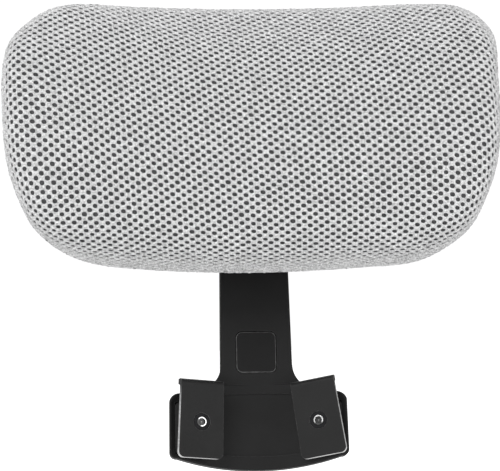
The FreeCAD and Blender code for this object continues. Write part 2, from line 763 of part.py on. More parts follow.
def inner_board():
    blank = common("board_blank", slab("board_slab", -8.0, dims.board_thickness),
                   panel("board_panel", dims.board_half, dims.board_low, dims.board_top,
                         dims.board_corner))
    tools = rods("nut_hole", 3.5, BRACKET_SCREWS, 0, 60)
    tools += rods("board_pilot", 1.72, SHELL_SCREWS, -20, 30, on_back=True)
    piece(cut("board_cut", blank, tools), "inner_board")


def t_nuts():
    nuts = []
    for i, (x, z) in enumerate(BRACKET_SCREWS):
        front = back(x, z) - 11.7
        solids = [rod("nut_barrel_%d" % i, 3.48, (x, front, z), 7.8),
                  rod("nut_flange_%d" % i, 7.5, (x, front, z), 1.2)]
        nuts.append(cut("t_nut_%d" % i, fuse("t_nut_fuse_%d" % i, solids),
                        [rod("t_nut_bore_%d" % i, 2.52, (x, 0, z), 60)]))
    piece(group("t_nuts_all", nuts), "t_nuts")


def headrest_screws():
    bracket = []
    for i, (x, z) in enumerate(BRACKET_SCREWS):
        start = back(x, z) - 9.6
        bracket.append(socket_screw("bracket_screw_%d" % i, x, z,
                                    shank=(2.5, start, WEB_REAR + 0.5 - start),
                                    head=(4.7, WEB_REAR + 0.02, 2.6), key=(3.0, WEB_REAR + 1.2, 3)))
    piece(group("bracket_screws_all", bracket), "bracket_screws")
    shell = []
    for i, (x, z) in enumerate(SHELL_SCREWS):
        y = back(x, z)
        shell.append(socket_screw("shell_screw_%d" % i, x, z, shank=(1.7, y - 6.9, 7.3),
                                  head=(3.4, y - 0.08, 1.8), key=(2.5, y + 0.7, 3)))
    piece(group("shell_screws_all", shell), "shell_screws")


# Cushion sections from the -X end to the middle: x, top z, bottom z, half depth along y
HALF_STATIONS = [
    (-142.5, 201, 188, 6), (-141.4, 215.7, 159, 15), (-139.6, 221.5, 150, 21),
    (-136.5, 227, 139.7, 26), (-132, 231, 125.3, 29), (-120.7, 238, 109.2, 30.5),
    (-109, 241.5, 101.1, 31), (-97.7, 243.2, 95.7, 31.5), (-86, 243.5, 93.4, 32),
    (-63, 243.5, 91, 32), (-28.7, 243.5, 89, 32),
]
MIDDLE = (0, dims.cushion_top.value, dims.cushion_low.value, dims.cushion_depth.value)
STATIONS = HALF_STATIONS + [MIDDLE] + [(-x, *rest) for x, *rest in reversed(HALF_STATIONS)]


def squared(value, power=0.72):
    """Sine or cosine bent so that the section is fuller than an ellipse."""
    return math.copysign(abs(value) ** power, value)


def pillow(name, inset):
    """Loft through the cushion sections, all drawn in by inset."""
    half = dims.cushion_half.value
    middle_y = (dims.back_y - dims.shell_thickness - dims.cushion_depth).value
    sections = []
    for x, top, low, half_depth in STATIONS:
        half_height = max((top - low) / 2 - inset, 4.0)
        centre_y = middle_y - x * x / (2 * dims.curve_radius.value)
        points = []
        for i in range(40):
            angle = 2 * math.pi * i / 40
            z = (top + low) / 2 + half_height * squared(math.cos(angle))
            y = centre_y + (half_depth - inset) * squared(math.sin(angle))
            y += dims.back_slope.value * (z - dims.middle_z.value)
            points.append(Vector(x * (half - inset) / half, y, z))
        curve = Part.BSplineCurve()
        curve.interpolate(points, PeriodicFlag=True)
        sections.append(Part.Wire([curve.toShape()]))
    return feature(name, Part.makeLoft(sections, True, True))


def cushion():
    """Foam core and the cover around it, both open towards the board and the shell rim."""
    inside = pillow("foam_pillow", dims.coat.value)
    behind = slab("behind_slab", -8.1, 90)
    rim_block = common("rim_block", slab("rim_slab", -dims.rim_depth - 0.3, 60),
                       shell_panel("rim_panel", -0.2))
    rim = cut("rim_ring", rim_block, [shell_panel("rim_inner_panel", 2.4)])
    nut_room = rods("nut_room", 8.2, BRACKET_SCREWS, -12.6, 8.4, on_back=True)
    foam = cut("foam_cut", inside, [behind] + nut_room)
    piece(cut("foam_rim_cut", foam, [rim]), "foam_core")
    piece(cut("cover_cut", pillow("cover_pillow", 0.0), [inside, behind, rim]), "mesh_cover")


# --- build, check and export -----------------------------------------------------------------
base_bracket()
rear_cover()
rear_cover_screws()
lock_spring()
lock_button()
lock_pin()
lift_blade()
hinge_bushes()
for side in CLAMPS:
    clamp(side)
hinge_bracket()
hinge_bolt()
hinge_friction_washers()
hinge_disc_springs()
hinge_washer_and_nut()
back_shell()
inner_board()
t_nuts()
headrest_screws()
cushion()

doc.recompute()
for obj in doc.Objects:
    if "Invalid" in obj.State or "Error" in obj.State:
        raise RuntimeError("object %s is %s" % (obj.Name, obj.State))
labels = set()
for obj in PIECES:
    if obj.Shape.isNull() or not obj.Shape.isValid() or not obj.Shape.Solids:
        raise RuntimeError("sub-part %s has no valid shape" % obj.Label)
    if obj.Label in labels:
        raise RuntimeError("label twice: " + obj.Label)
    labels.add(obj.Label)
os.makedirs("parts", exist_ok=True)
for obj in PIECES:
    obj.Shape.exportStep("parts/%s.step" % obj.Label)
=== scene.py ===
"""Headrest: a cushion in an open knit cover, with the CAD's shell, hooks, bolts and fittings.

X runs to the viewer's right, -Y is the front of the cushion and Z is up. Geometry is worked
out in mm and scaled to metres in mesh_object(); shader lengths are in metres.
A "flat" point (x, z) lies on the unrolled cover; wrap() folds it round the cushion.
"""
import bpy
import json
import math
import numpy as np
from mathutils import Matrix, Vector


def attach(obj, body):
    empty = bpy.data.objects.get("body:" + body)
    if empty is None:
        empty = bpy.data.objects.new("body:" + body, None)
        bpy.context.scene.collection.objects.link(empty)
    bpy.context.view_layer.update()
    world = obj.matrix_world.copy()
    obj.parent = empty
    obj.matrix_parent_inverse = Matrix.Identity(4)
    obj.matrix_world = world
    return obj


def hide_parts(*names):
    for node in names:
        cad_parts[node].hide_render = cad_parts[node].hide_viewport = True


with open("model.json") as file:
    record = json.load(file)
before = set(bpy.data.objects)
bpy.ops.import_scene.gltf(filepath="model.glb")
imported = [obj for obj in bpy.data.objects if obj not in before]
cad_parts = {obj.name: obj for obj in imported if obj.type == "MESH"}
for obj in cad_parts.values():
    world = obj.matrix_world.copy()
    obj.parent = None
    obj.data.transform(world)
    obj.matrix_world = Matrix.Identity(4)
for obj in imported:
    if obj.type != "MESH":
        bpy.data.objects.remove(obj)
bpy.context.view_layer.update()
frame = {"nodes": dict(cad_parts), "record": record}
MM = 0.001

# ---------------------------------------------------------------- cushion dimensions (mm)
MID_Z, HALF_HEIGHT, HALF_WIDTH = 166.0, 78.0, 140.0
COVER_SHIFT_X = -4.0        # the cover sits a little off centre on its shell
SIDE_CURVE = 330.0          # radius of front and shell, seen from above
FRONT_Y = -46.0             # front face at its foremost point
CROWN, CROWN_Z = 180.0, 122.0   # radius of the front seen from the side, height of its centre
CROWN_SPAN = 110.0          # the crown is held constant beyond this height from its centre
SHELL_Y, SHELL_BOW, SHELL_LEAN = 22.0, 14.0, 0.16
SHELL_GAP = 9.6             # the cover ends this far in front of the shell surface
INSET_SIDE, INSET_TOP, INSET_BOTTOM = 12.5, 27.0, 25.0  # outline to border of the front face
TURN_DEPTH, TURN_REACH = 8.0, 12.0  # quarter ellipse that turns the cover inward at the back

# Right half of the cushion seen from the front, top centre to bottom centre: (x, z)
RIGHT_OUTLINE = [
    (0, 243.6), (40, 243.6), (75, 243.6), (95, 243.1), (108, 241.4), (120.4, 237.6),
    (129.9, 231.2), (136.3, 223.6), (139.8, 216.5), (141.6, 208.5), (142.4, 197), (142.2, 179),
    (141.3, 162), (139.2, 147.5), (136.8, 139.5), (133.0, 129.5), (128.6, 119.6),
    (123.8, 112.6), (117.6, 106.6), (109.5, 101.2), (99, 96.4), (86.2, 93.5), (74.7, 92.1),
    (63.2, 91), (51.7, 90.1), (28.7, 88.9), (0, 88.4)]
OUTLINE_COUNT = 720


# ---------------------------------------------------------------- outline and border
def hump(*offsets):
    """Bell of height 1 where all the scaled offsets are 0."""
    return np.exp(-sum(o ** 2 for o in offsets))


def fit_outline(points):
    """Pull the symmetric outline to the fitted one; its right and left corners differ."""
    x, z, side = np.abs(points[:, 0]) * 0.978, points[:, 1].copy(), np.sign(points[:, 0])
    right = side > 0
    stretch = 1.9           # top and bottom edges move apart by this much each
    z += (stretch * np.clip((z - MID_Z) / HALF_HEIGHT, 0, 1)
          - stretch * np.clip((MID_Z - z) / HALF_HEIGHT, 0, 1))
    corner = hump((x - 126) / 16, (z - 233) / 13) * np.where(right, 2.2, -1.4)
    low_side = hump((z - 111) / 9) * (x > 105) * 0.8
    waist = -1.6 * hump((z - 168) / 38) * (x > 120)
    right_only = np.where(right, 1.0, 0.0) * np.clip((x - 104) / 14, 0, 1)
    shoulder = 5.0 * hump((z - 226) / 16) * right_only
    raised = np.where(right, 1.4, 0.5) * hump((x - 116) / 16) * (z > 220)
    lowered = np.where(right, 1.7, 0.15) * hump((x - 98) / 28) * (z < 140)
    return np.stack([side * (x + 0.6 * corner + low_side + waist + shoulder),
                     z + 0.8 * corner + raised - lowered], 1)


def smooth_ring(ring, rounds):
    for _ in range(rounds):
        ring = (np.roll(ring, 1, 0) + 2 * ring + np.roll(ring, -1, 0)) / 4
    return ring


def resample(curve, rounds):
    """OUTLINE_COUNT even points along a closed curve, lightly averaged."""
    length = np.linalg.norm(np.roll(curve, -1, 0) - curve, axis=1)
    travelled = np.concatenate([[0], np.cumsum(length)])
    closed = np.vstack([curve, curve[:1]])
    stops = np.linspace(0, travelled[-1], OUTLINE_COUNT, endpoint=False)
    even = np.stack([np.interp(stops, travelled, closed[:, k]) for k in (0, 1)], 1)
    return smooth_ring(even, rounds)


def closed_spline(points, per_span=24):
    """Catmull-Rom curve through a closed ring of points."""
    curve = []
    for i in range(len(points)):
        p0, p1, p2, p3 = (points[(i + k) % len(points)] for k in (-1, 0, 1, 2))
        for j in range(per_span):
            t = j / per_span
            curve.append(0.5 * (2 * p1 + (p2 - p0) * t
                                + (2 * p0 - 5 * p1 + 4 * p2 - p3) * t * t
                                + (3 * p1 - p0 - 3 * p2 + p3) * t ** 3))
    return np.array(curve)


def outward_normals(ring):
    tangent = np.roll(ring, -1, 0) - np.roll(ring, 1, 0)
    tangent /= np.linalg.norm(tangent, axis=1)[:, None]
    normal = np.stack([-tangent[:, 1], tangent[:, 0]], 1)
    return -normal if ((ring - ring.mean(0)) * normal).sum() < 0 else normal


def distance_to_outline(start, way):
    """Distance from start along the unit direction way to the outline."""
    side = np.roll(OUTLINE, -1, 0) - OUTLINE
    unlit_side = OUTLINE - start
    det = way[0] * -side[:, 1] + way[1] * side[:, 0]
    det = np.where(np.abs(det) < 1e-9, 1e9, det)
    ahead = (unlit_side[:, 0] * -side[:, 1] + unlit_side[:, 1] * side[:, 0]) / det
    part = (way[0] * unlit_side[:, 1] - way[1] * unlit_side[:, 0]) / det
    hit = (ahead > 0) & (part >= -1e-6) & (part <= 1 + 1e-6)
    # 20 mm stands in should a ray slip between two sides
    return ahead[hit].min() if hit.any() else 20.0


mirrored = [(-x, z) for x, z in RIGHT_OUTLINE[-2:0:-1]]
control = fit_outline(np.array(RIGHT_OUTLINE + mirrored, float))
OUTLINE = resample(closed_spline(control), rounds=36)
normal = outward_normals(OUTLINE)
inset = (INSET_SIDE * normal[:, 0] ** 2
         + np.where(normal[:, 1] > 0, INSET_TOP, INSET_BOTTOM) * normal[:, 1] ** 2)
inset = smooth_ring(inset, 30)

# Border of the front face, its outward directions, and the way from it to the outline
BORDER = resample(OUTLINE - normal * inset[:, None], rounds=30)
OUTWARD = outward_normals(BORDER)
REACH = np.array([distance_to_outline(p, way) for p, way in zip(BORDER, OUTWARD)])


# ---------------------------------------------------------------- section from front to back
def front_y(x, z):
    height = np.clip(z - CROWN_Z, -CROWN_SPAN, CROWN_SPAN)
    return FRONT_Y - x * x / (2 * SIDE_CURVE) + CROWN - np.sqrt(CROWN ** 2 - height ** 2)


def shell_y(x, z):
    bow = SHELL_BOW * ((z - MID_Z) / HALF_HEIGHT) ** 2
    return SHELL_Y - x * x / (2 * SIDE_CURVE) - bow + SHELL_LEAN * (z - MID_Z)


ANGLES = np.linspace(0, math.pi / 2, 40)


def ellipse_arcs(reach, depth, slope):
    """Arc length at ANGLES of quarter ellipses that start with the given slope."""
    reach, depth, slope = reach[:, None], depth[:, None], slope[:, None]
    lean = slope * reach * np.cos(ANGLES) * (1 - np.sin(ANGLES))
    speed = np.sqrt((reach * np.cos(ANGLES)) ** 2 + (depth * np.sin(ANGLES) + lean) ** 2)
    pieces = (speed[:, 1:] + speed[:, :-1]) / 2 * (ANGLES[1] - ANGLES[0])
    return np.concatenate([np.zeros((len(reach), 1)), np.cumsum(pieces, 1)], 1)


def front_y_beside_border(offset):
    return front_y(BORDER[:, 0] + offset * OUTWARD[:, 0], BORDER[:, 1] + offset * OUTWARD[:, 1])


# At each border point: the front rolls over an ellipse, runs back as a straight wall, then
# turns inward behind.
BORDER_Y = front_y(BORDER[:, 0], BORDER[:, 1])
turned_in = BORDER + OUTWARD * REACH[:, None] - OUTWARD * TURN_REACH
total_depth = shell_y(turned_in[:, 0], turned_in[:, 1]) - SHELL_GAP - BORDER_Y
SLOPE = (front_y_beside_border(1) - front_y_beside_border(-1)) / 2  # depth per mm sideways
ROLL_DEPTH = np.clip(np.minimum(0.95 * REACH + 3.0,
                                total_depth - TURN_DEPTH - 1.5 - SLOPE * REACH * 0.5), 4.0, None)
WALL_START = ROLL_DEPTH + 0.5 * SLOPE * REACH
WALL = total_depth - TURN_DEPTH - WALL_START

ROLL_ARCS = ellipse_arcs(REACH, ROLL_DEPTH, SLOPE)
TURN_ARCS = ellipse_arcs(np.full(OUTLINE_COUNT, TURN_REACH),
                         np.full(OUTLINE_COUNT, TURN_DEPTH), np.zeros(OUTLINE_COUNT))
ROLL_LENGTH, TURN_LENGTH = ROLL_ARCS[:, -1], TURN_ARCS[:, -1]
END_LENGTH = ROLL_LENGTH + WALL + TURN_LENGTH


def inside_border(points):
    """Even-odd test against the border."""
    x, z = points[:, 0], points[:, 1]
    inside = np.zeros(len(points), bool)
    for (ax, az), (bx, bz) in zip(BORDER, np.roll(BORDER, 1, 0)):
        crossing_x = (bx - ax) * (z - az) / (bz - az + 1e-12) + ax
        inside ^= ((az > z) != (bz > z)) & (x < crossing_x)
    return inside


def nearest_on_border(points):
    """Border segment nearest each point, the share along it, and the distance."""
    nearest = ((points[:, None, :] - BORDER[None]) ** 2).sum(2).argmin(1)
    best, share, segment = np.full(len(points), 1e18), np.zeros(len(points)), nearest.copy()
    for step in (-1, 0):
        first = (nearest + step) % OUTLINE_COUNT
        start = BORDER[first]
        along = BORDER[(first + 1) % OUTLINE_COUNT] - start
        t = np.clip(((points - start) * along).sum(1) / (along * along).sum(1), 0, 1)
        squared = ((points - (start + along * t[:, None])) ** 2).sum(1)
        closer = squared < best
        best[closer], share[closer], segment[closer] = squared[closer], t[closer], first[closer]
    return segment, share, np.sqrt(best)


def wrap(points, chunk=4000):
    """Fold flat points round the cushion.

    Returns their places, the distance run beyond the border, and where the run ends."""
    places = np.stack([points[:, 0], front_y(points[:, 0], points[:, 1]), points[:, 1]], 1)
    run, end = np.zeros(len(points)), np.full(len(points), 1e9)
    outside = np.where(~inside_border(points))[0]
    for k in range(0, len(outside), chunk):
        ids = outside[k:k + chunk]
        segment, share, distance = nearest_on_border(points[ids])

        def mix(values):
            w = share if values.ndim == 1 else share[:, None]
            return values[segment] * (1 - w) + values[(segment + 1) % OUTLINE_COUNT] * w
        base, way = mix(BORDER), mix(OUTWARD)
        way /= np.linalg.norm(way, axis=1)[:, None]
        base_y, roll_length, wall, turn_length = map(
            mix, (BORDER_Y, ROLL_LENGTH, WALL, TURN_LENGTH))
        reach, roll_depth, slope, wall_start = map(mix, (REACH, ROLL_DEPTH, SLOPE, WALL_START))
        lateral, depth = np.zeros(len(ids)), np.zeros(len(ids))
        for i, s in enumerate(distance):
            past_wall = s - roll_length[i] - wall[i]
            if s <= roll_length[i]:
                seg = segment[i]
                arc = s * ROLL_LENGTH[seg] / roll_length[i]
                angle = np.interp(arc, ROLL_ARCS[seg], ANGLES)
                sine = math.sin(angle)
                lateral[i] = reach[i] * sine
                depth[i] = (roll_depth[i] * (1 - math.cos(angle))
                            + slope[i] * reach[i] * (sine - 0.5 * sine * sine))
            elif s <= roll_length[i] + wall[i]:
                lateral[i], depth[i] = reach[i], wall_start[i] + s - roll_length[i]
            elif past_wall <= turn_length[i]:
                angle = np.interp(turn_length[i] - past_wall, TURN_ARCS[segment[i]], ANGLES)
                lateral[i] = reach[i] - TURN_REACH + TURN_REACH * math.sin(angle)
                depth[i] = wall_start[i] + wall[i] + TURN_DEPTH * math.cos(angle)
            else:
                lateral[i] = reach[i] - TURN_REACH - (past_wall - turn_length[i])
                depth[i] = wall_start[i] + wall[i] + TURN_DEPTH
        places[ids, 0] = base[:, 0] + way[:, 0] * lateral
        places[ids, 1] = base_y + depth
        places[ids, 2] = base[:, 1] + way[:, 1] * lateral
        run[ids], end[ids] = distance, roll_length + wall + turn_length
    return places, run, end


# ---------------------------------------------------------------- mesh helpers
def mesh_object(name, verts, faces, smooth=True):
    """Linked mesh object from vertices in mm and faces of equal size."""
    mesh = bpy.data.meshes.new(name)
    verts = np.ascontiguousarray(verts * MM, np.float32)
    faces = np.array(faces, np.int32)
    mesh.vertices.add(len(verts))
    mesh.vertices.foreach_set("co", verts.ravel())
    mesh.loops.add(faces.size)
    mesh.loops.foreach_set("vertex_index", faces.ravel())
    mesh.polygons.add(len(faces))
    starts = np.arange(0, faces.size, faces.shape[1], dtype=np.int32)
    mesh.polygons.foreach_set("loop_start", starts)
    if smooth:
        mesh.polygons.foreach_set("use_smooth", np.ones(len(faces), bool))
    mesh.update(calc_edges=True)
    mesh.validate()
    ob = bpy.data.objects.new(name, mesh)
    bpy.context.scene.collection.objects.link(ob)
    return ob


def grid_quads(mask):
    """Quads of a vertex grid whose four corners are all in the mask."""
    i, j = np.where(mask[:-1, :-1] & mask[1:, :-1] & mask[1:, 1:] & mask[:-1, 1:])
    corner = i * mask.shape[1] + j
    across = corner + mask.shape[1]
    return np.stack([corner, across, across + 1, corner + 1], 1)


def keep_vertices(used, total, faces):
    """Faces renumbered for the used vertices only."""
    number = np.full(total, -1)
    number[used] = np.arange(len(used))
    return number[faces]


# ---------------------------------------------------------------- base sheet of the cover
STEP = 3.6                  # grid spacing of the flat sheet
STEPS_X, STEPS_Z = 56, 34   # grid steps each side of the middle
GRID_X = np.arange(-STEPS_X, STEPS_X + 1) * STEP
GRID_Z = MID_Z + np.arange(-STEPS_Z, STEPS_Z + 1) * STEP


def flat_grid(xs, zs):
    x, z = np.meshgrid(xs, zs, indexing="ij")
    return np.stack([x.ravel(), z.ravel()], 1)


def neighbour_sum(grid):
    return grid[2:, 1:-1] + grid[:-2, 1:-1] + grid[1:-1, 2:] + grid[1:-1, :-2]


def swell(sheet, mask, pinned):
    """Cloth under light pressure, held along the hem: the cover swells like stretched fabric."""
    used = np.where(mask.ravel())[0]
    rest = sheet.reshape(-1, 3)[used]
    ob = mesh_object("sim_sheet", rest, keep_vertices(used, mask.size, grid_quads(mask)))
    group = ob.vertex_groups.new(name="hem")
    group.add([int(k) for k in np.where(pinned.ravel()[used])[0]], 1.0, "REPLACE")
    cloth = ob.modifiers.new("Cloth", "CLOTH")
    settings = dict(quality=6, mass=0.25, tension_stiffness=18, compression_stiffness=18,
                    shear_stiffness=8, bending_stiffness=4, use_pressure=True,
                    uniform_pressure_force=4.0, vertex_group_mass="hem")
    for key, value in settings.items():
        setattr(cloth.settings, key, value)
    cloth.settings.effector_weights.gravity = 0
    cloth.collision_settings.use_collision = False
    last_frame = 20
    cloth.point_cache.frame_start, cloth.point_cache.frame_end = 1, last_frame
    for number in range(1, last_frame + 1):
        bpy.context.scene.frame_set(number)
    mesh = ob.evaluated_get(bpy.context.evaluated_depsgraph_get()).to_mesh()
    moved = np.empty(len(used) * 3, np.float32)
    mesh.vertices.foreach_get("co", moved)
    delta = moved.reshape(-1, 3) / MM - rest
    length = np.linalg.norm(delta, axis=1)
    cap = 3.0               # the swelling levels off at this many mm
    delta *= (cap * np.tanh(length / cap) / np.maximum(length, 1e-9))[:, None]
    swelling = np.zeros((mask.size, 3))
    swelling[used] = delta
    swelling = swelling.reshape(sheet.shape)
    for _ in range(6):
        swelling[1:-1, 1:-1] = (swelling[1:-1, 1:-1] * 2 + neighbour_sum(swelling)) / 6
    bpy.data.objects.remove(ob)
    bpy.context.scene.frame_set(1)
    return sheet + swelling


def build_sheet():
    sheet, run, end = wrap(flat_grid(GRID_X, GRID_Z))
    # the sideways shift fades out where the cover tucks in behind
    tuck = np.clip((run - (end - 16.0)) / 14.0, 0, 1)
    sheet[:, 0] += COVER_SHIFT_X * (1 - tuck * tuck * (3 - 2 * tuck))
    size = (len(GRID_X), len(GRID_Z))
    sheet, run, end = sheet.reshape(*size, 3), run.reshape(size), end.reshape(size)
    pinned = run > end - 9.0
    # smooth without shrinking: a step towards the neighbours' mean, then one away
    for _ in range(14):
        for amount in (0.5, -0.51):
            pull = np.zeros_like(sheet)
            pull[1:-1, 1:-1] = neighbour_sum(sheet) / 4 - sheet[1:-1, 1:-1]
            pull[pinned] = 0
            sheet = sheet + amount * pull
    sheet = swell(sheet, run < end + 5.0, pinned)
    return sheet


SHEET = build_sheet()


def cubic_weights(t):
    """Catmull-Rom weights of four neighbours, and their slopes."""
    value = [(-t + 2 * t ** 2 - t ** 3) / 2, (2 - 5 * t ** 2 + 3 * t ** 3) / 2,
             (t + 4 * t ** 2 - 3 * t ** 3) / 2, (-t ** 2 + t ** 3) / 2]
    slope = [(-1 + 4 * t - 3 * t ** 2) / 2, (-10 * t + 9 * t ** 2) / 2,
             (1 + 8 * t - 9 * t ** 2) / 2, (-2 * t + 3 * t ** 2) / 2]
    return value, slope


def on_cover(points, lift):
    """Places of flat points on the sheet, lifted outward by so many mm."""
    u = (points[:, 0] - GRID_X[0]) / STEP
    v = (points[:, 1] - GRID_Z[0]) / STEP
    i = np.clip(np.floor(u).astype(int), 1, len(GRID_X) - 3)
    j = np.clip(np.floor(v).astype(int), 1, len(GRID_Z) - 3)
    weight_u, slope_u = cubic_weights(u - i)
    weight_v, slope_v = cubic_weights(v - j)
    place, along_u, along_v = np.zeros((3, len(points), 3))
    for a in range(4):
        for b in range(4):
            corner = SHEET[i + a - 1, j + b - 1]
            place += corner * (weight_u[a] * weight_v[b])[:, None]
            along_u += corner * (slope_u[a] * weight_v[b])[:, None]
            along_v += corner * (weight_u[a] * slope_v[b])[:, None]
    normal = np.cross(along_u, along_v)
    normal /= np.maximum(np.linalg.norm(normal, axis=1), 1e-9)[:, None]
    return place + normal * np.reshape(lift, (-1, 1))


# ---------------------------------------------------------------- knit with staggered holes
WALE, COURSE = 6.4, 2.35    # nominal lattice pitch across, and between staggered rows
# How the knit is stretched over the pad, as a polynomial in x and z scaled to the half sizes:
# (power of x, power of z, share of the wale count, share of the course count)
STRETCH = [(1, 0, 21.95, -2.02), (0, 1, 0.74, -16.75), (2, 0, -0.51, 2.40),
           (1, 1, 0.05, -0.47), (0, 2, 0.14, -1.69), (3, 0, 0.88, 0.23),
           (2, 1, 0.03, 1.81), (1, 2, 0.33, -0.03), (0, 3, 0.09, -1.10),
           (2, 2, 0.58, 0.35), (4, 0, 0.39, -1.91), (0, 4, 0.05, 1.14)]


def count_loops(points):
    """Wale and course numbers at flat points, and their slopes; straight beyond the face."""
    held = np.stack([np.clip(points[:, 0], -138, 138), np.clip(points[:, 1], 90, 240)], 1)
    x, z = held[:, 0] / HALF_WIDTH, (held[:, 1] - MID_Z) / HALF_HEIGHT
    numbers, slopes = np.zeros((len(points), 2)), np.zeros((len(points), 2, 2))
    for a, b, *shares in STRETCH:
        for k, share in enumerate(shares):
            numbers[:, k] += share * x ** a * z ** b
            if a:
                slopes[:, k, 0] += share * a * x ** (a - 1) * z ** b / HALF_WIDTH
            if b:
                slopes[:, k, 1] += share * b * x ** a * z ** (b - 1) / HALF_HEIGHT
    numbers += np.einsum("nij,nj->ni", slopes, points - held)
    return numbers, slopes


def lay(lattice):
    """Flat places of lattice points given in nominal mm, found by Newton steps."""
    a, b = lattice[:, 0], lattice[:, 1]
    wanted = np.stack([a / WALE, -b / (2 * COURSE)], 1)
    points = np.stack([a * 0.98, MID_Z + b], 1)
    for _ in range(12):
        numbers, slopes = count_loops(points)
        step = np.linalg.solve(slopes, (wanted - numbers)[:, :, None])[:, :, 0]
        points = points + np.clip(step, -25, 25)
    return points


# One cell: a hexagon with its side midpoints, round a superelliptic hole
HEXAGON = np.array([(0.809, 2.33), (-0.809, 2.33), (-2.466, 0),
                    (-0.809, -2.33), (0.809, -2.33), (2.466, 0)])
CELL = np.stack([HEXAGON, (HEXAGON + np.roll(HEXAGON, -1, 0)) / 2], 1).reshape(-1, 2)
SIDES = len(CELL)
HOLE_HALF_X, HOLE_HALF_Z, HOLE_POWER = 1.50, 1.23, 2.0 / 2.5
cell_angle = np.arctan2(CELL[:, 1], CELL[:, 0])


def rounded(wave, half):
    return half * np.sign(wave) * np.abs(wave) ** HOLE_POWER


HOLE = np.stack([rounded(np.cos(cell_angle), HOLE_HALF_X),
                 rounded(np.sin(cell_angle), HOLE_HALF_Z)], 1)

WALES_EACH_SIDE, ROWS_EACH_SIDE = 37, 60
centres = np.array([((i + 0.5 * (j % 2)) * WALE, j * COURSE)
                    for j in range(-ROWS_EACH_SIDE, ROWS_EACH_SIDE + 1)
                    for i in range(-WALES_EACH_SIDE, WALES_EACH_SIDE + 1)])
place = lay(centres)
_, run, end = wrap(place)
kept = ((run < end - 1.5) & (np.abs(place[:, 0]) < GRID_X[-4])
        & (place[:, 1] > GRID_Z[3]) & (place[:, 1] < GRID_Z[-4]))
centres, place, run, end = centres[kept], place[kept], run[kept], end[kept]
rng = np.random.RandomState(7)
jitter = rng.normal(0, 0.045, (len(centres), 2))
hole_size = 1.0 + rng.normal(0, 0.04, len(centres))
# Closed knit: the selvedge that wraps to the back, and a seam allowance low on the right side
closed = (run > end - 8.0) | ((place[:, 0] > 131.5) & (place[:, 1] > 112)
                              & (place[:, 1] < 143) & (run > 3.0))


def knit(name, chosen):
    """Cells from their shared edges over a ring and a lip down the wall of each hole."""
    centre = centres[chosen][:, None, :]
    middle = centre + jitter[chosen][:, None, :]
    size = np.where(closed[chosen], 0.03, hole_size[chosen])[:, None, None]
    openness = np.repeat(np.where(closed[chosen], 0.02, 1.0), SIDES)
    edge = (centre + CELL[None]).reshape(-1, 2)
    # neighbouring cells share the vertices of their common sides
    key = np.round(edge * 200).astype(np.int64)
    _, first, inverse = np.unique(key, axis=0, return_index=True, return_inverse=True)
    shared = len(first)
    rings = [(middle + HOLE[None] * scale * size).reshape(-1, 2) for scale in (1.15, 0.97, 0.94)]
    # the shared edges stand proud by uneven amounts; the rings step down into the hole
    wobble = np.random.RandomState(11).normal(0, 1.0, shared)
    lift = np.concatenate([0.31 + 0.13 * wobble]
                          + [height * openness for height in (0.06, -0.24, -0.8)])
    verts = on_cover(lay(np.concatenate([edge[first]] + rings)), lift)
    ring_ids = shared + np.arange(len(edge)).reshape(-1, SIDES)
    loops = [inverse.reshape(-1, SIDES)] + [ring_ids + k * len(edge) for k in range(3)]
    faces = [np.stack([outer, np.roll(outer, -1, 1), np.roll(inner, -1, 1), inner], 2)
             for outer, inner in zip(loops, loops[1:])]
    return mesh_object(name, verts, np.concatenate([f.reshape(-1, 4) for f in faces]))


def spacer_layer():
    """Closed cloth 1 mm under the sheet, seen through the holes."""
    fine = 2                # spacer steps per step of the sheet
    xs = np.linspace(GRID_X[1], GRID_X[-2], (len(GRID_X) - 3) * fine + 1)
    zs = np.linspace(GRID_Z[1], GRID_Z[-2], (len(GRID_Z) - 3) * fine + 1)
    points = flat_grid(xs, zs)
    _, run, end = wrap(points)
    faces = grid_quads((run < end + 3.0).reshape(len(xs), len(zs)))
    used = np.unique(faces)
    return mesh_object("cover_spacer_layer", on_cover(points, -1.0)[used],
                       keep_vertices(used, len(points), faces))


def hem_band():
    """Soft flattened tube that runs round the back edge of the cover."""
    run_in, run_out, fat, sections = -1.0, 7.0, 0.9, 10
    border, way, end = BORDER[::2], OUTWARD[::2], END_LENGTH[::2]
    count = len(border)
    rows = []
    for s in range(sections):
        angle = 2 * math.pi * s / sections
        offset = (run_in + run_out) / 2 + (run_out - run_in) / 2 * math.cos(angle)
        points = border + way * (end - offset)[:, None]
        rows.append(on_cover(points, fat * math.sin(angle)))
    faces = []
    for i in range(count):
        here, ahead = i * sections, (i + 1) % count * sections
        for s in range(sections):
            s2 = (s + 1) % sections
            faces.append((here + s, ahead + s, ahead + s2, here + s2))
    return mesh_object("cover_hem", np.stack(rows, 1).reshape(-1, 3), faces)


on_face = run <= 0.5
on_left = centres[:, 0] < 0
covers = [knit(f"cover_{part}_{side}", in_part & in_side)
          for part, in_part in (("face", on_face), ("edge", ~on_face))
          for side, in_side in (("left", on_left), ("right", ~on_left))]
spacer = spacer_layer()
hem = hem_band()


# ---------------------------------------------------------------- shader helpers
def feed(socket, value):
    """Link a socket's value, or set it; colours are given as three numbers."""
    if hasattr(value, "node"):
        socket.id_data.links.new(value, socket)
    else:
        socket.default_value = (*value, 1) if socket.type == "RGBA" else value


def add_node(tree, kind, *inputs, **settings):
    """New node: inputs fill its sockets in order, settings its named sockets or properties."""
    node = tree.nodes.new("ShaderNode" + kind)
    for name, value in settings.items():
        if name in node.inputs:
            feed(node.inputs[name], value)
        else:
            setattr(node, name, value)
    for socket, value in zip(node.inputs, inputs):
        feed(socket, value)
    return node


def grey(tone):
    return (tone,) * 3


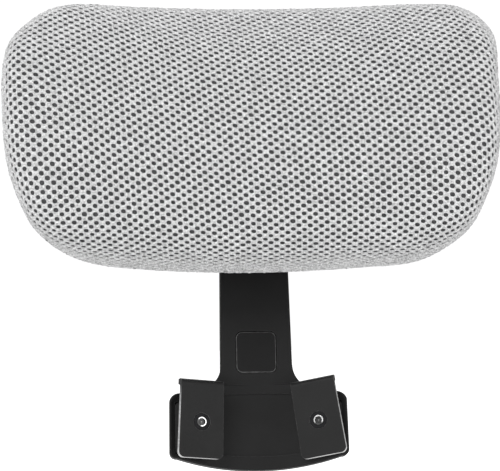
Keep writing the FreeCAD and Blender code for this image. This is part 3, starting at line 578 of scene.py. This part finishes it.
class Mat:
    """A material on the Principled shader, textured in object coordinates."""

    def __init__(self, name):
        self.material = bpy.data.materials.new(name)
        self.material.use_nodes = True
        self.tree = self.material.node_tree
        self.coords = self.node("TexCoord").outputs["Object"]

    def node(self, kind, *inputs, **settings):
        return add_node(self.tree, kind, *inputs, **settings)

    def math(self, operation, first, second=0.0):
        return self.node("Math", first, second, operation=operation).outputs[0]

    def vector(self, operation, *inputs):
        node = self.node("VectorMath", *inputs, operation=operation)
        return node.outputs["Vector" if operation == "SUBTRACT" else "Value"]

    def noise(self, scale, detail=3.0, rough=0.6, stretch=None):
        coords = self.coords
        if stretch:
            coords = self.node("Mapping", Scale=stretch, Vector=coords).outputs[0]
        return self.node("TexNoise", Scale=scale, Detail=detail, Roughness=rough,
                         Vector=coords).outputs["Fac"]

    def remap(self, value, over=(0.3, 0.7), to=(0.0, 1.0)):
        return self.node("MapRange", value, *over, *to).outputs[0]

    def mix(self, factor, first, second):
        node = self.node("Mix", factor, data_type="RGBA")
        for socket, colour in zip([s for s in node.inputs if s.type == "RGBA"], (first, second)):
            feed(socket, colour)
        return [s for s in node.outputs if s.type == "RGBA"][0]

    def bump(self, height, distance, strength, normal=None):
        linked = {} if normal is None else {"Normal": normal}
        return self.node("Bump", Height=height, Distance=distance, Strength=strength,
                         **linked).outputs[0]

    def bevel(self, radius):
        return self.node("Bevel", Radius=radius, samples=6).outputs[0]

    def edge(self, radius):
        """1 along convex and concave edges, 0 on flats."""
        normal = self.node("NewGeometry").outputs["Normal"]
        facing = self.vector("DOT_PRODUCT", self.bevel(radius), normal)
        return self.remap(facing, over=(0.995, 0.86))

    def object_normal(self, kind):
        """The "Normal" or "True Normal" in object space."""
        normal = self.node("NewGeometry").outputs[kind]
        return self.node("VectorTransform", normal, vector_type="NORMAL",
                         convert_from="WORLD", convert_to="OBJECT").outputs[0]

    def surface(self, **inputs):
        """Fill the Principled sockets, spaces written as underscores; return the material."""
        shader = self.tree.nodes["Principled BSDF"]
        for name, value in inputs.items():
            feed(shader.inputs[name.replace("_", " ")], value)
        return self.material


# ---------------------------------------------------------------- materials
def black_plastic(name, tone, rough, grain=1.0, specular=0.16, rim=0.5, highlight_and_wear_tone=0.085,
                  face=None):
    """Grained plastic with pale edges, partly wear and partly a painted highlight, and a painted
    highlight wherever it turns away from face.
    """
    m = Mat(name)
    fine = m.noise(scale=2600.0, detail=2.0)
    medium = m.noise(scale=420.0)
    cloud = m.noise(scale=28.0, rough=0.5)
    colour = m.mix(m.remap(cloud), grey(tone * 0.86), (tone * 1.16, tone * 1.16, tone * 1.18))
    # pale edges, partly wear and partly a painted highlight; rim sets how strongly they show
    wear = m.math("MULTIPLY", m.edge(radius=0.0007),
                  m.remap(medium, over=(0.42, 0.68), to=(0.35, 1.0)))
    colour = m.mix(m.math("MULTIPLY", wear, rim), colour, grey(highlight_and_wear_tone))
    if face is not None:
        # painted highlight on the rounded fillets that turn away from face
        facing = m.vector("DOT_PRODUCT", m.object_normal("Normal"), face)
        painted_fillet_highlight = m.math("MULTIPLY", m.remap(facing, over=(0.985, 0.80)),
                          m.remap(medium, over=(0.40, 0.62), to=(0.45, 1.0)))
        colour = m.mix(painted_fillet_highlight, colour, grey(highlight_and_wear_tone))
    coarse = m.bump(medium, distance=0.00006 * grain, strength=0.5,
                    normal=m.bevel(radius=0.0005))
    return m.surface(
        Base_Color=colour, Roughness=m.remap(medium, to=(rough - 0.05, rough + 0.07)),
        Normal=m.bump(fine, distance=0.00004 * grain, strength=0.7, normal=coarse),
        Specular_IOR_Level=specular)


def steel_coat(name, tone, rough):
    m = Mat(name)
    peel = m.noise(scale=900.0, detail=2.0, rough=0.5)
    cloud = m.noise(scale=40.0, detail=2.0, rough=0.5)
    colour = m.mix(m.remap(cloud), grey(tone * 0.9), grey(tone * 1.12))
    wear = m.math("MULTIPLY", m.edge(radius=0.0005),
                  m.remap(peel, over=(0.45, 0.65), to=(0.1, 1.0)))
    return m.surface(
        Base_Color=m.mix(m.math("MULTIPLY", wear, 0.5), colour, grey(0.32)),
        Roughness=m.remap(peel, to=(rough - 0.06, rough + 0.08)),
        Normal=m.bump(peel, distance=0.00003, strength=0.6, normal=m.bevel(radius=0.0004)))


def hook_steel(name, plate_normal, up, top):
    """Black coat on the plate, bare bright cut edges along its sides and lower end."""
    m = Mat(name)
    facing = m.vector("DOT_PRODUCT", m.object_normal("True Normal"), plate_normal)
    on_side = m.math("LESS_THAN", m.math("ABSOLUTE", facing), 0.4)
    height = m.vector("DOT_PRODUCT", m.coords, up)
    below_top = m.remap(height, over=(top - 0.0045, top - 0.016))
    cut = m.math("MULTIPLY", on_side, below_top)
    peel = m.noise(scale=900.0, detail=2.0, rough=0.5)
    streaks = m.noise(scale=60.0, stretch=(1, 1, 12))
    cloud = m.noise(scale=45.0, detail=2.0, rough=0.5)
    coat = m.mix(m.remap(cloud), grey(0.0100), grey(0.0125))
    bare = m.mix(m.remap(streaks), grey(0.42), grey(0.78))
    rim = m.math("MULTIPLY", m.edge(radius=0.0007),
                 m.remap(peel, over=(0.40, 0.6), to=(0.2, 1.0)))
    bareness = m.math("MINIMUM", m.math("ADD", cut, m.math("MULTIPLY", rim, 0.10)), 1.0)
    return m.surface(
        Base_Color=m.mix(bareness, coat, bare), Metallic=m.math("MULTIPLY", cut, 0.75),
        Roughness=m.math("SUBTRACT", m.remap(peel, to=(0.40, 0.52)),
                         m.math("MULTIPLY", cut, 0.12)),
        Normal=m.bump(peel, distance=0.00003, strength=0.6, normal=m.bevel(radius=0.0004)),
        Specular_IOR_Level=0.18)


def bolt_end(name, tip, axis, unlit_side):
    """Zinc with a bright rim at the tip. The cup within the rim and the rim's sector towards the
    given side are painted dark as shade; a faint painted highlight stays at the centre point.
    """
    m = Mat(name)
    offset = m.vector("SUBTRACT", m.coords, tip)
    distance = m.vector("LENGTH", offset)
    along = m.vector("DOT_PRODUCT", offset, axis)
    squared = m.math("SUBTRACT", m.math("POWER", distance, 2.0), m.math("POWER", along, 2.0))
    radius = m.math("SQRT", m.math("MAXIMUM", squared, 1e-12))
    near_tip = m.math("LESS_THAN", m.math("ABSOLUTE", along), 0.0020)
    # painted shade inside the cup at the tip, eased at the very centre into a faint painted
    # highlight
    painted_bore_shade = m.math("MULTIPLY", m.remap(radius, over=(0.0022, 0.0020)),
                  m.remap(radius, over=(0.0003, 0.0005), to=(0.75, 1.0)))
    # painted shade over the sector of the rim that faces the given side
    toward_unlit_side = m.math("DIVIDE", m.vector("DOT_PRODUCT", offset, unlit_side), radius)
    painted_unlit_sector = m.math("MULTIPLY", m.remap(toward_unlit_side, over=(0.35, 0.7)),
                     m.math("GREATER_THAN", radius, 0.0018))
    shade = m.math("MINIMUM", m.math("ADD", painted_bore_shade, m.math("MULTIPLY", painted_unlit_sector, 0.95)), 1.0)
    dark = m.math("MULTIPLY", near_tip, shade)
    grain = m.noise(scale=900.0)
    bright = m.mix(m.remap(grain, over=(0.35, 0.65)), grey(0.55), grey(0.95))
    return m.surface(
        Base_Color=m.mix(dark, bright, grey(0.012)), Metallic=m.math("SUBTRACT", 1.0, dark),
        Roughness=m.remap(grain, to=(0.22, 0.36)),
        Normal=m.bump(grain, distance=0.00004, strength=0.6, normal=m.bevel(radius=0.0003)))


def metal(name, colour, rough):
    m = Mat(name)
    grain = m.noise(scale=700.0, stretch=(1, 1, 1))
    cloud = m.noise(scale=240.0, detail=2.0, rough=0.5)
    return m.surface(
        Base_Color=m.mix(m.remap(cloud), tuple(c * 0.82 for c in colour), colour),
        Metallic=1.0, Roughness=m.remap(grain, to=(rough - 0.05, rough + 0.1)),
        Normal=m.bump(grain, distance=0.00002, strength=0.5, normal=m.bevel(radius=0.0003)))


def soft(name, colour, rough, scale, depth, vary):
    m = Mat(name)
    grain = m.noise(scale=scale, detail=4.0, rough=0.65)
    dark, light = (tuple(c * k for c in colour) for k in (1 - vary, 1 + vary))
    return m.surface(
        Base_Color=m.mix(m.remap(grain), dark, light), Roughness=rough,
        Normal=m.bump(grain, distance=depth, strength=0.8, normal=m.bevel(radius=0.0004)))


def plywood(name):
    m = Mat(name)
    grain = m.noise(scale=90.0, detail=5.0, stretch=(0.15, 1, 1.6))
    colour = m.mix(m.remap(grain, over=(0.35, 0.65)), (0.42, 0.28, 0.15), (0.66, 0.49, 0.31))
    return m.surface(Base_Color=colour, Roughness=0.7,
                     Normal=m.bump(grain, distance=0.0001, strength=0.4))


def knit_yarn(name, tone):
    m = Mat(name)
    yarn = m.noise(scale=1500.0, detail=4.0, rough=0.7, stretch=(1.0, 1.0, 2.2))
    loops = m.node("TexWave", Scale=520.0, Distortion=5.0, Detail=2.0,
                   Vector=m.coords).outputs["Fac"]
    blotch = m.noise(scale=55.0)
    tuft = m.noise(scale=1000.0, detail=2.0)
    patches = m.math("ADD", m.math("MULTIPLY", tuft, 0.42), m.math("MULTIPLY", blotch, 0.03))
    blend = m.math("ADD", m.math("MULTIPLY", yarn, 0.55), patches)
    dark, light = ((tone * k, tone * k, tone * (k + 0.005)) for k in (0.58, 1.58))
    relief = m.math("ADD", yarn, m.math("MULTIPLY", loops, 0.5))
    return m.surface(
        Base_Color=m.mix(m.remap(blend, over=(0.38, 0.62)), dark, light), Roughness=0.78,
        Normal=m.bump(relief, distance=0.0003, strength=0.8),
        Sheen_Weight=0.25, Sheen_Roughness=0.45, Specular_IOR_Level=0.35)


# ---------------------------------------------------------------- hook and bolt directions
TILT, SPLAY = 12, 17        # degrees: tilt about X, and each side's turn about Z
CLAMP_X, CLAMP_ARC = 38, 130    # mm: clamps lie this far to each side on an arc of this radius
CLAMP_Z, BOLT_TIP_Y = -1.6, -16


def turn(axis, degrees):
    return Matrix.Rotation(math.radians(degrees), 3, axis)


def side_directions(side, roll):
    """Front normal and up direction of the hook plate on side -1 (left) or 1 (right)."""
    rotation = turn("X", -TILT) @ turn("Z", -side * SPLAY) @ turn("Y", roll)
    return rotation @ Vector((0, -1, 0)), rotation @ Vector((0, 0, 1))


def bolt_tip(side):
    arc_y = -(CLAMP_ARC - math.sqrt(CLAMP_ARC ** 2 - CLAMP_X ** 2))
    reach = turn("Z", -side * SPLAY) @ Vector((0, BOLT_TIP_Y, 0))
    return turn("X", -TILT) @ (reach + Vector((CLAMP_X * side, arc_y, CLAMP_Z))) * MM


def top_of(node, up):
    return max(v.co.dot(up) for v in frame["nodes"][node].data.vertices)


knit_grey = knit_yarn("knit_grey", tone=0.60)
knit_hem = knit_yarn("knit_hem", tone=0.52)
spacer_dark = soft("spacer_dark", (0.060, 0.060, 0.062), rough=0.9, scale=900.0,
                   depth=0.0004, vary=0.55)
plastic = black_plastic("plastic_black", tone=0.0105, rough=0.47)
tilt = math.radians(TILT)
by_node = {
    # the button's pale edges and its fillets turned away from face are painted highlights
    "lock_button": black_plastic("plastic_button", tone=0.0078, rough=0.42, grain=0.7,
                                 specular=0.15, rim=1.0, highlight_and_wear_tone=0.20,
                                 face=(0.0, -math.cos(tilt), math.sin(tilt))),
    "back_shell": black_plastic("plastic_shell", tone=0.012, rough=0.55, grain=1.8)}
by_slot = {
    "black_plastic": plastic,
    "black_steel": steel_coat("steel_coated", tone=0.032, rough=0.42),
    "zinc": metal("zinc_bright", (0.86, 0.86, 0.85), rough=0.22),
    "zinc_dark": metal("zinc_black", (0.020, 0.020, 0.021), rough=0.45),
    "spring_steel": metal("spring_steel", (0.46, 0.46, 0.48), rough=0.30),
    "white_nylon": soft("nylon", (0.74, 0.73, 0.69), rough=0.5, scale=800.0,
                        depth=0.00002, vary=0.05),
    "black_rubber": soft("rubber", (0.018, 0.018, 0.018), rough=0.85, scale=1200.0,
                         depth=0.00005, vary=0.2),
    "plywood": plywood("plywood"),
    "grey_foam": spacer_dark,
    "grey_mesh": knit_grey}

# Each side: name, sign of x, roll of the hook plate in degrees, side of the bolt's rim painted
# dark as shade
SIDES_OF_FRAME = [("left", -1, 2.45, (-0.95, 0, -0.3)), ("right", 1, -7.9, (0.1, 0, -0.99))]
for name, side, roll, _ in SIDES_OF_FRAME:
    front, up = side_directions(side, roll)
    plate = name + "_hook_plate"
    by_node[plate] = hook_steel("hook_" + name, front, up, top_of(plate, up))
for name, side, roll, unlit_side in SIDES_OF_FRAME:
    front, _ = side_directions(side, roll)
    by_node[name + "_clamp_bolt"] = bolt_end("bolt_" + name, bolt_tip(side), front, unlit_side)

for part in frame["record"]["subparts"]:
    ob = frame["nodes"][part["node"]]
    material = by_node.get(part["node"]) or by_slot[part["material_slot"]]
    if not ob.material_slots:
        ob.data.materials.append(material)
    for slot in ob.material_slots:
        slot.material = material

for ob, material, slot_name in ([(cover, knit_grey, "grey_mesh") for cover in covers]
                                + [(hem, knit_hem, "grey_mesh"),
                                   (spacer, spacer_dark, "grey_foam")]):
    ob.data.materials.append(material)
    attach(ob, "headrest")
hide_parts("mesh_cover")
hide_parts("foam_core")


# ---------------------------------------------------------------- floor, light, camera
def camera_ray_math(tree, *numbers, operation):
    """Math on 1 for rays from the camera and 0 for all others."""
    ray = add_node(tree, "LightPath").outputs["Is Camera Ray"]
    return add_node(tree, "Math", ray, *numbers, operation=operation).outputs[0]


def build_floor():
    half, z = 6000, -160
    corners = [(-half, -half, z), (half, -half, z), (half, half, z), (-half, half, z)]
    floor = mesh_object("floor", np.array(corners), [(0, 1, 2, 3)], smooth=False)
    material = bpy.data.materials.new("floor_pale")
    material.use_nodes = True
    tree = material.node_tree
    glow = camera_ray_math(tree, 0.75, operation="MULTIPLY")    # seen by the camera only
    for name, value in {"Base Color": grey(0.90), "Roughness": 0.9,
                        "Emission Color": grey(1), "Emission Strength": glow}.items():
        feed(tree.nodes["Principled BSDF"].inputs[name], value)
    floor.data.materials.append(material)


def build_world(for_light=0.60, extra_for_camera=0.45):
    world = bpy.data.worlds.new("studio")
    scene.world = world
    world.use_nodes = True
    background = world.node_tree.nodes["Background"]
    feed(background.inputs["Strength"], camera_ray_math(
        world.node_tree, extra_for_camera, for_light, operation="MULTIPLY_ADD"))
    feed(background.inputs["Color"], grey(1))


def area_light(name, place, target, size, power):
    """Rectangular light; places and sizes in metres."""
    light = bpy.data.lights.new(name, "AREA")
    light.shape, light.energy = "RECTANGLE", power
    light.size, light.size_y = size
    ob = bpy.data.objects.new(name, light)
    ob.location = place
    way = Vector(target) - Vector(place)
    ob.rotation_euler = way.to_track_quat("-Z", "Y").to_euler()
    scene.collection.objects.link(ob)


def build_camera():
    place = Vector((-66.42, -999.5, 75.95)) * MM
    yaw, pitch, roll = map(math.radians, (3.608, 1.918, -0.643))
    forward = Vector((math.sin(yaw) * math.cos(pitch), math.cos(yaw) * math.cos(pitch),
                      math.sin(pitch)))
    level = Vector((math.cos(yaw), -math.sin(yaw), 0))
    upright = level.cross(forward)
    right = level * math.cos(roll) + upright * math.sin(roll)
    up = -level * math.sin(roll) + upright * math.cos(roll)
    camera = bpy.data.cameras.new("cam")
    ob = bpy.data.objects.new("cam", camera)
    scene.collection.objects.link(ob)
    rotation = Matrix((right, up, -forward)).transposed()
    ob.matrix_world = Matrix.Translation(place) @ rotation.to_4x4()
    camera.sensor_width = 36.0
    camera.lens = 123.1344
    camera.clip_start = 0.05
    scene.camera = ob


scene = bpy.context.scene
build_floor()
build_world()
area_light("key", place=(-0.7, -1.5, 1.5), target=(0, 0, 0.13), size=(0.9, 0.9), power=17)
area_light("fill", place=(1.3, -1.4, 0.5), target=(0, 0, 0.1), size=(0.9, 1.2), power=8)
area_light("rim", place=(0.2, 1.3, 1.2), target=(0, 0, 0.1), size=(1.6, 0.8), power=14)
area_light("low", place=(-0.7, -1.3, -0.08), target=(0, 0, 0.02), size=(0.9, 0.12), power=4)
build_camera()
scene.view_settings.view_transform = "Standard"
scene.view_settings.look = "None"
